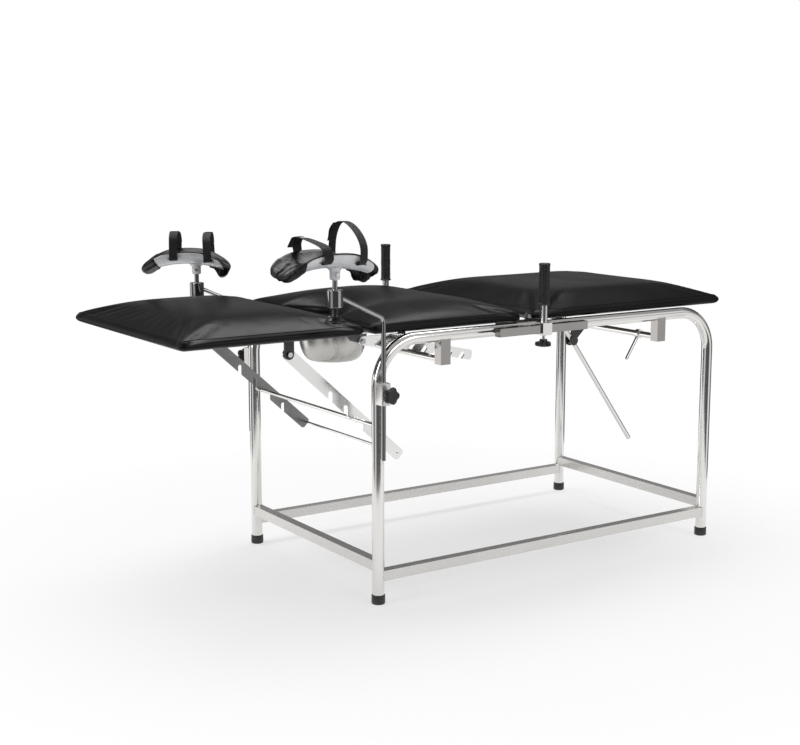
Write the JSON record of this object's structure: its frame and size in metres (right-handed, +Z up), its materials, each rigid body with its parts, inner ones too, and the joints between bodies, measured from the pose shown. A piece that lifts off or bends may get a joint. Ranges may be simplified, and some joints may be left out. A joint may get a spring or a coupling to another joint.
{
  "type": "medical examination table",
  "caption": "Gynaecological examination table: tubular steel frame, hinged leg, tilting seat and lifting back cushions, leg rests on swinging poles and sliding hand grips.",
  "frame": {"origin": "on the floor, in the table's middle plane, under the middle of the cushions' full length", "axes": "+X along the table towards the head end, +Y across it, +Z up"},
  "size_m": [1.931, 1.0821, 1.095],
  "materials": {
    "stainless": "polished stainless steel tube and plate",
    "chrome": "bright chrome plating",
    "vinyl": "glossy black upholstery vinyl",
    "rest_leather": "soft black padded leather, slightly wrinkled",
    "board": "plywood board, stained dark",
    "black_paint": "satin black painted steel",
    "dark_steel": "dark grey enamelled steel",
    "black_plastic": "moulded black phenolic",
    "bush_plastic": "natural nylon",
    "rubber": "black moulded rubber",
    "rest_paint": "silver-white enamel",
    "webbing": "black woven webbing",
    "zinc": "bright zinc-plated fasteners"
  },
  "bodies": {
    "frame": {"hoop_far": "stainless", "hoop_near": "stainless", "rubber_foot_caps": "rubber", "lower_rail_far": "stainless", "lower_rail_near": "stainless", "lower_end_rails": "stainless", "hanger_stubs": "stainless", "cross_tube_foot_end": "stainless", "cross_tube_head_end": "stainless", "catch_bar": "stainless", "leg_hinge_plates": "dark_steel", "centre_hinge_plates": "dark_steel", "hinge_bolts": "zinc", "strut_bracket": "black_paint", "grip_rail_far": "stainless", "grip_rail_near": "stainless", "pole_clamp_far": "stainless", "pole_clamp_near": "stainless"},
    "leg_section": {"leg_board": "board", "leg_cushion": "vinyl", "leg_under_frame": "dark_steel", "leg_rack_brackets": "black_paint"},
    "leg_racks": {"leg_rack_far": "stainless", "leg_rack_near": "stainless", "rack_tie_rod": "stainless"},
    "seat_section": {"seat_board": "board", "seat_cushion": "vinyl", "seat_under_frame": "dark_steel", "seat_rack_brackets": "black_paint", "bowl": "stainless", "bowl_cradle": "stainless"},
    "seat_racks": {"seat_rack_far": "stainless", "seat_rack_near": "stainless"},
    "back_section": {"back_board": "board", "back_cushion": "vinyl", "back_under_frame": "dark_steel"},
    "back_strut": {"strut_rod": "stainless"},
    "backrest_lever": {"release_lever": "stainless"},
    "grip_far": {"grip_post_far": "chrome", "rubber_grip_far": "rubber"},
    "grip_screw_far": {"grip_knob_far": "black_plastic"},
    "pole_bush_far": {"clamp_bush_far": "bush_plastic"},
    "rest_pole_far": {"pole_far": "chrome"},
    "pole_screw_far": {"clamp_knob_far": "black_plastic"},
    "neck_screw_far": {"socket_knob_far": "black_plastic"},
    "rest_neck_far": {"neck_far": "chrome"},
    "leg_rest_far": {"rest_shell_far": "rest_paint", "rest_liner_far": "rest_leather", "rest_straps_far": "webbing"},
    "grip_near": {"grip_post_near": "chrome", "rubber_grip_near": "rubber"},
    "grip_screw_near": {"grip_knob_near": "black_plastic"},
    "pole_bush_near": {"clamp_bush_near": "bush_plastic"},
    "rest_pole_near": {"pole_near": "chrome"},
    "pole_screw_near": {"clamp_knob_near": "black_plastic"},
    "neck_screw_near": {"socket_knob_near": "black_plastic"},
    "rest_neck_near": {"neck_near": "chrome"},
    "leg_rest_near": {"rest_shell_near": "rest_paint", "rest_liner_near": "rest_leather", "rest_straps_near": "webbing"}
  },
  "joints": [
    {"name": "leg_section_fold", "type": "hinge", "parent": "frame", "child": "leg_section", "pos_m": [-0.398, 0, 0.757], "axis": [0, -1, 0], "range_deg": [0, 70]},
    {"name": "leg_rack_swing", "type": "hinge", "parent": "leg_section", "child": "leg_racks", "pos_m": [-0.6035, 0, 0.7296], "axis": [0, -1, 0], "range_deg": [-11, 0]},
    {"name": "seat_tilt", "type": "hinge", "parent": "frame", "child": "seat_section", "pos_m": [0.146, 0, 0.785], "axis": [0, 1, 0], "range_deg": [0, 10]},
    {"name": "seat_rack_swing", "type": "hinge", "parent": "seat_section", "child": "seat_racks", "pos_m": [-0.25, 0, 0.7348], "axis": [0, 1, 0], "range_deg": [0, 17.2]},
    {"name": "backrest_raise", "type": "hinge", "parent": "frame", "child": "back_section", "pos_m": [0.19, 0, 0.785], "axis": [0, -1, 0], "range_deg": [0, 70]},
    {"name": "strut_swing", "type": "hinge", "parent": "back_section", "child": "back_strut", "pos_m": [0.34, -0.3, 0.76], "axis": [0, -1, 0], "range_deg": [-77.5, 0]},
    {"name": "backrest_lever_swing", "type": "hinge", "parent": "frame", "child": "backrest_lever", "pos_m": [0.69, -0.28, 0.687], "axis": [0, 1, 0], "range_deg": [-25, 25]},
    {"name": "grip_slide_far", "type": "slide", "parent": "frame", "child": "grip_far", "axis": [1, 0, 0], "range_m": [-0.098, 0.088]},
    {"name": "grip_knob_turn_far", "type": "hinge", "parent": "grip_far", "child": "grip_screw_far", "pos_m": [0.172, 0.4275, 0.717], "axis": [0, 0, 1], "range_deg": [0, 360]},
    {"name": "pole_swing_far", "type": "hinge", "parent": "frame", "child": "pole_bush_far", "pos_m": [-0.371, 0.398, 0.614], "axis": [0, 0, -1], "range_deg": [0, 100]},
    {"name": "pole_height_far", "type": "slide", "parent": "pole_bush_far", "child": "rest_pole_far", "axis": [0, 0, 1], "range_m": [0, 0.12]},
    {"name": "pole_knob_turn_far", "type": "hinge", "parent": "frame", "child": "pole_screw_far", "pos_m": [-0.371, 0.435, 0.614], "axis": [0, 1, 0], "range_deg": [0, 360]},
    {"name": "neck_knob_turn_far", "type": "hinge", "parent": "rest_pole_far", "child": "neck_screw_far", "pos_m": [-0.541, 0.423, 0.796], "axis": [0, 0, 1], "range_deg": [0, 360]},
    {"name": "rest_turn_far", "type": "hinge", "parent": "rest_pole_far", "child": "rest_neck_far", "pos_m": [-0.541, 0.423, 0.846], "axis": [0, 0, 1], "range_deg": [-60, 45]},
    {"name": "rest_tilt_far", "type": "hinge", "parent": "rest_neck_far", "child": "leg_rest_far", "pos_m": [-0.541, 0.423, 0.904], "axis": [0.5, 0.866, 0], "range_deg": [-12, 12]},
    {"name": "grip_slide_near", "type": "slide", "parent": "frame", "child": "grip_near", "axis": [1, 0, 0], "range_m": [-0.098, 0.088]},
    {"name": "grip_knob_turn_near", "type": "hinge", "parent": "grip_near", "child": "grip_screw_near", "pos_m": [0.172, -0.4275, 0.717], "axis": [0, 0, 1], "range_deg": [0, 360]},
    {"name": "pole_swing_near", "type": "hinge", "parent": "frame", "child": "pole_bush_near", "pos_m": [-0.371, -0.398, 0.614], "axis": [0, 0, 1], "range_deg": [0, 100]},
    {"name": "pole_height_near", "type": "slide", "parent": "pole_bush_near", "child": "rest_pole_near", "axis": [0, 0, 1], "range_m": [-0.05, 0.07]},
    {"name": "pole_knob_turn_near", "type": "hinge", "parent": "frame", "child": "pole_screw_near", "pos_m": [-0.371, -0.435, 0.614], "axis": [0, -1, 0], "range_deg": [0, 360]},
    {"name": "neck_knob_turn_near", "type": "hinge", "parent": "rest_pole_near", "child": "neck_screw_near", "pos_m": [-0.541, -0.423, 0.85], "axis": [0, 0, 1], "range_deg": [0, 360]},
    {"name": "rest_turn_near", "type": "hinge", "parent": "rest_pole_near", "child": "rest_neck_near", "pos_m": [-0.541, -0.423, 0.9], "axis": [0, 0, 1], "range_deg": [-45, 60]},
    {"name": "rest_tilt_near", "type": "hinge", "parent": "rest_neck_near", "child": "leg_rest_near", "pos_m": [-0.541, -0.423, 0.958], "axis": [0, 1, 0], "range_deg": [-12, 12]}
  ],
  "couplings": [
    {"joint": "leg_rack_swing", "follows": "leg_section_fold", "ratio": -0.15},
    {"joint": "seat_rack_swing", "follows": "seat_tilt", "ratio": 1.71},
    {"joint": "strut_swing", "follows": "backrest_raise", "ratio": -1.101}
  ]
}
